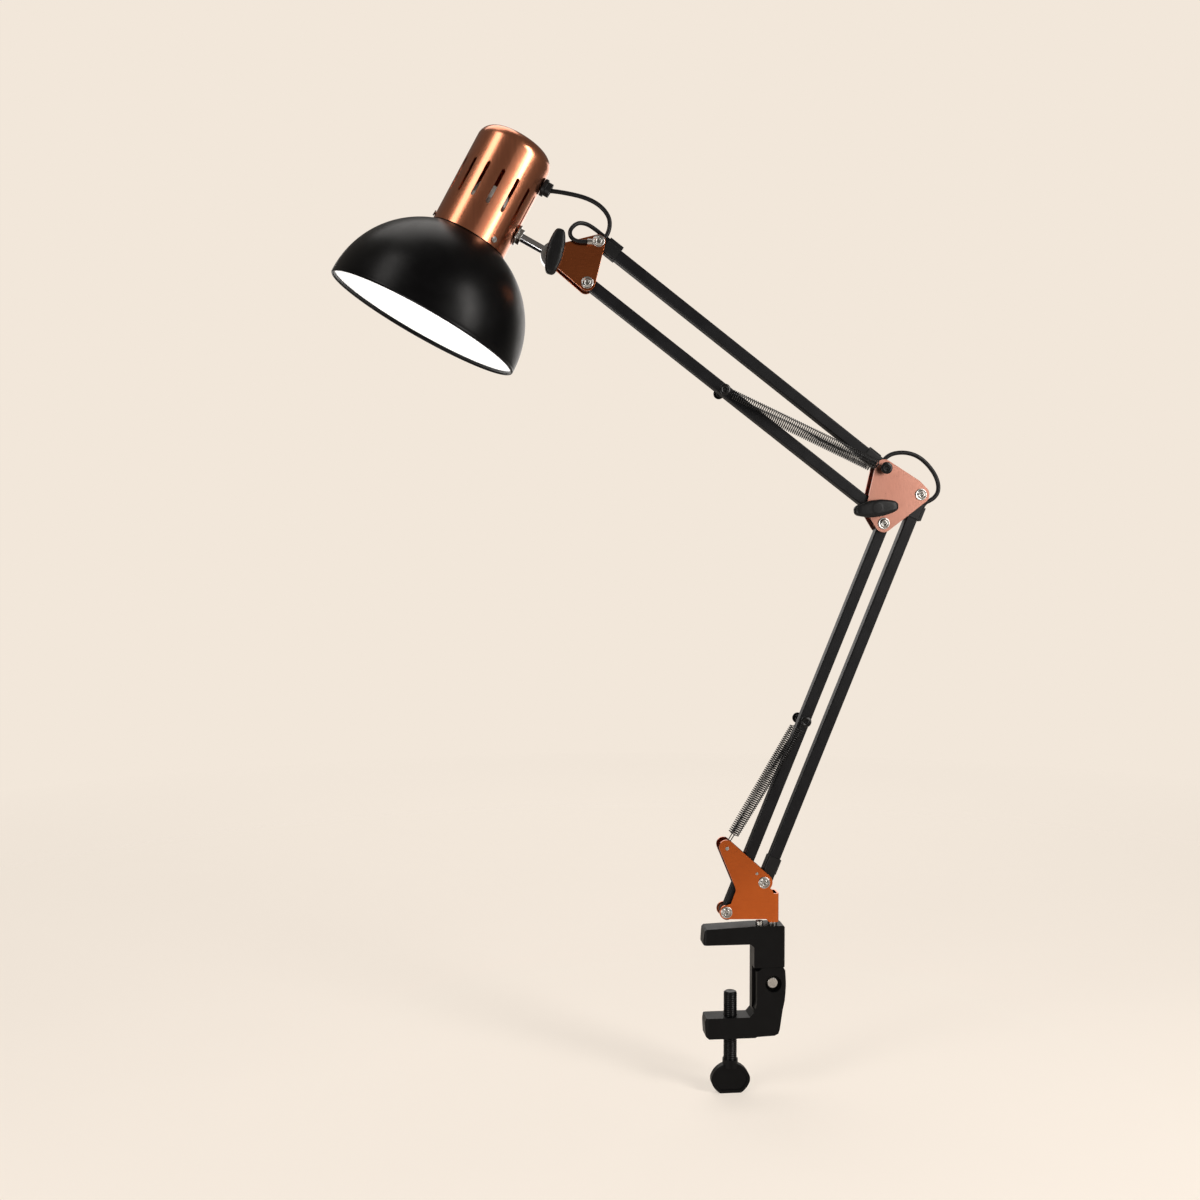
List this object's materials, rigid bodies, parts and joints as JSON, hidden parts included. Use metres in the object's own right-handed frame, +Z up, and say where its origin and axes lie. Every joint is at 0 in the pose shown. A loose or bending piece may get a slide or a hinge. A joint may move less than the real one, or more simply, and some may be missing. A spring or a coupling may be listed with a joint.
{
  "type": "architect desk lamp",
  "caption": "Clamp-on architect desk lamp: two parallelogram arms with balance springs, copper-finish brackets and vented cap, black dome shade on a tilting chrome stem.",
  "frame": {"origin": "on the desk top, where the upper jaw rests on it, on the axis of the clamp screw", "axes": "+Z up, +X from the jaws' open side towards the clamp's spine, +Y away from the clamp bolt's head; the arms move in the plane y = 0"},
  "size_m": [0.5046, 0.1636, 0.7971],
  "materials": {
    "clamp_black": "satin powder coat",
    "screw_black": "black oxide",
    "zinc_steel": "bright zinc plate",
    "copper_orange": "polished copper plate",
    "copper_rose": "satin copper plate",
    "copper_brown": "polished copper plate",
    "copper_brushed": "brushed copper plate",
    "tube_black": "satin enamel",
    "pin_black": "black oxide",
    "spring_black": "black spring steel",
    "moulded_black": "fine texture",
    "wing_black": "fine texture",
    "chrome": "polished",
    "shade_black": "satin enamel",
    "enamel_white": "gloss enamel",
    "holder_white": "glazed",
    "contact_brass": "bright",
    "cord_black": "soft matt"
  },
  "bodies": {
    "clamp": {"clamp_upper": "clamp_black", "clamp_lower": "clamp_black", "clamp_bolt": "zinc_steel", "clamp_bolt_nut": "zinc_steel", "lock_screw": "zinc_steel"},
    "clamp_feed": {"clamp_screw": "screw_black", "thumb_key": "clamp_black"},
    "base": {"base_bracket": "copper_orange", "swivel_pin": "zinc_steel", "base_pivot_bolts": "zinc_steel", "base_pivot_nuts": "zinc_steel", "base_washers": "zinc_steel", "base_cross_pins": "zinc_steel"},
    "lower_arm": {"lower_tube_a": "tube_black", "lower_tube_a_plugs": "moulded_black", "lower_spring_pin": "pin_black", "lower_spring_front": "spring_black", "lower_spring_back": "spring_black"},
    "elbow": {"elbow_plate_front": "copper_rose", "elbow_plate_back": "copper_rose", "elbow_pivot_bolts": "zinc_steel", "elbow_pivot_nuts": "zinc_steel", "elbow_washers": "zinc_steel", "elbow_spring_pin": "pin_black", "elbow_wing_bolt": "zinc_steel", "elbow_cord": "cord_black"},
    "lower_link": {"lower_tube_b": "tube_black", "lower_tube_b_sleeves": "moulded_black", "lower_tube_lead": "cord_black"},
    "elbow_wing": {"elbow_wing_nut": "wing_black"},
    "upper_arm": {"upper_tube_u": "tube_black", "upper_tube_u_sleeves": "moulded_black", "upper_tube_lead": "cord_black"},
    "upper_link": {"upper_tube_l": "tube_black", "upper_tube_l_plugs": "moulded_black", "upper_spring_pin": "pin_black", "upper_spring_front": "spring_black", "upper_spring_back": "spring_black"},
    "head_bracket": {"head_plate_front": "copper_brown", "head_plate_back": "copper_brown", "head_pivot_bolts": "zinc_steel", "head_pivot_nuts": "zinc_steel", "head_washers": "zinc_steel", "earth_terminal": "zinc_steel", "head_wing_bolt": "zinc_steel", "head_cord": "cord_black", "earth_lead": "cord_black"},
    "head_wing": {"head_wing_nut": "wing_black"},
    "head": {"stem": "chrome", "stem_fasteners": "zinc_steel", "cap": "copper_brushed", "cap_screws": "zinc_steel", "shade": "shade_black", "shade_lining": "enamel_white", "lamp_holder": "holder_white", "holder_ring": "moulded_black", "holder_shell": "contact_brass", "holder_contact": "contact_brass", "cord_gland": "moulded_black"}
  },
  "joints": [
    {"name": "screw_feed", "type": "slide", "parent": "clamp", "child": "clamp_feed", "axis": [0, 0, 1], "range_m": [-0.016, 0.019]},
    {"name": "base_swivel", "type": "hinge", "parent": "clamp", "child": "base", "pos_m": [0.0358, 0, 0.015], "axis": [0, 0, 1], "continuous": true},
    {"name": "lower_arm_lift", "type": "hinge", "parent": "base", "child": "lower_arm", "pos_m": [-0.0049, 0, 0.0271], "axis": [0, -1, 0], "range_deg": [-12, 11], "stiffness_Nm_per_rad": 1.5, "springref_deg": -45.84, "deforming": ["lower_spring_front", "lower_spring_back"]},
    {"name": "elbow_level", "type": "hinge", "parent": "lower_arm", "child": "elbow", "pos_m": [0.12734, 0, 0.35115], "axis": [0, -1, 0], "range_deg": [-14, 14], "stiffness_Nm_per_rad": 1.5, "springref_deg": -99.69},
    {"name": "lower_link_swing", "type": "hinge", "parent": "elbow", "child": "lower_link", "pos_m": [0.15916, 0, 0.37539], "axis": [0, -1, 0], "range_deg": [-14, 14], "deforming": ["elbow_cord"]},
    {"name": "elbow_wing_turn", "type": "hinge", "parent": "elbow", "child": "elbow_wing", "pos_m": [0.11824, 0, 0.36335], "axis": [0, -1, 0], "continuous": true},
    {"name": "upper_arm_lift", "type": "hinge", "parent": "elbow", "child": "upper_arm", "pos_m": [0.12754, 0, 0.39695], "axis": [0, -1, 0], "range_deg": [-25, 30], "stiffness_Nm_per_rad": 1.5, "springref_deg": -95.68},
    {"name": "upper_link_swing", "type": "hinge", "parent": "elbow", "child": "upper_link", "pos_m": [0.11824, 0, 0.36335], "axis": [0, -1, 0], "range_deg": [-32, 32], "deforming": ["upper_spring_front", "upper_spring_back"]},
    {"name": "head_level", "type": "hinge", "parent": "upper_arm", "child": "head_bracket", "pos_m": [-0.11189, 0, 0.57936], "axis": [0, -1, 0], "range_deg": [-32, 32], "stiffness_Nm_per_rad": 0.5, "springref_deg": -82.51, "deforming": ["earth_lead"]},
    {"name": "head_wing_turn", "type": "hinge", "parent": "head_bracket", "child": "head_wing", "pos_m": [-0.14769, 0, 0.56826], "axis": [0, -1, 0], "continuous": true},
    {"name": "head_tilt", "type": "hinge", "parent": "head_bracket", "child": "head", "pos_m": [-0.14769, 0, 0.56826], "axis": [0, -1, 0], "range_deg": [-35, 28], "deforming": ["head_cord"]}
  ],
  "couplings": [
    {"joint": "elbow_level", "follows": "lower_arm_lift", "ratio": -1},
    {"joint": "lower_link_swing", "follows": "lower_arm_lift", "ratio": 1},
    {"joint": "upper_link_swing", "follows": "upper_arm_lift", "ratio": 1},
    {"joint": "head_level", "follows": "upper_arm_lift", "ratio": -1}
  ]
}
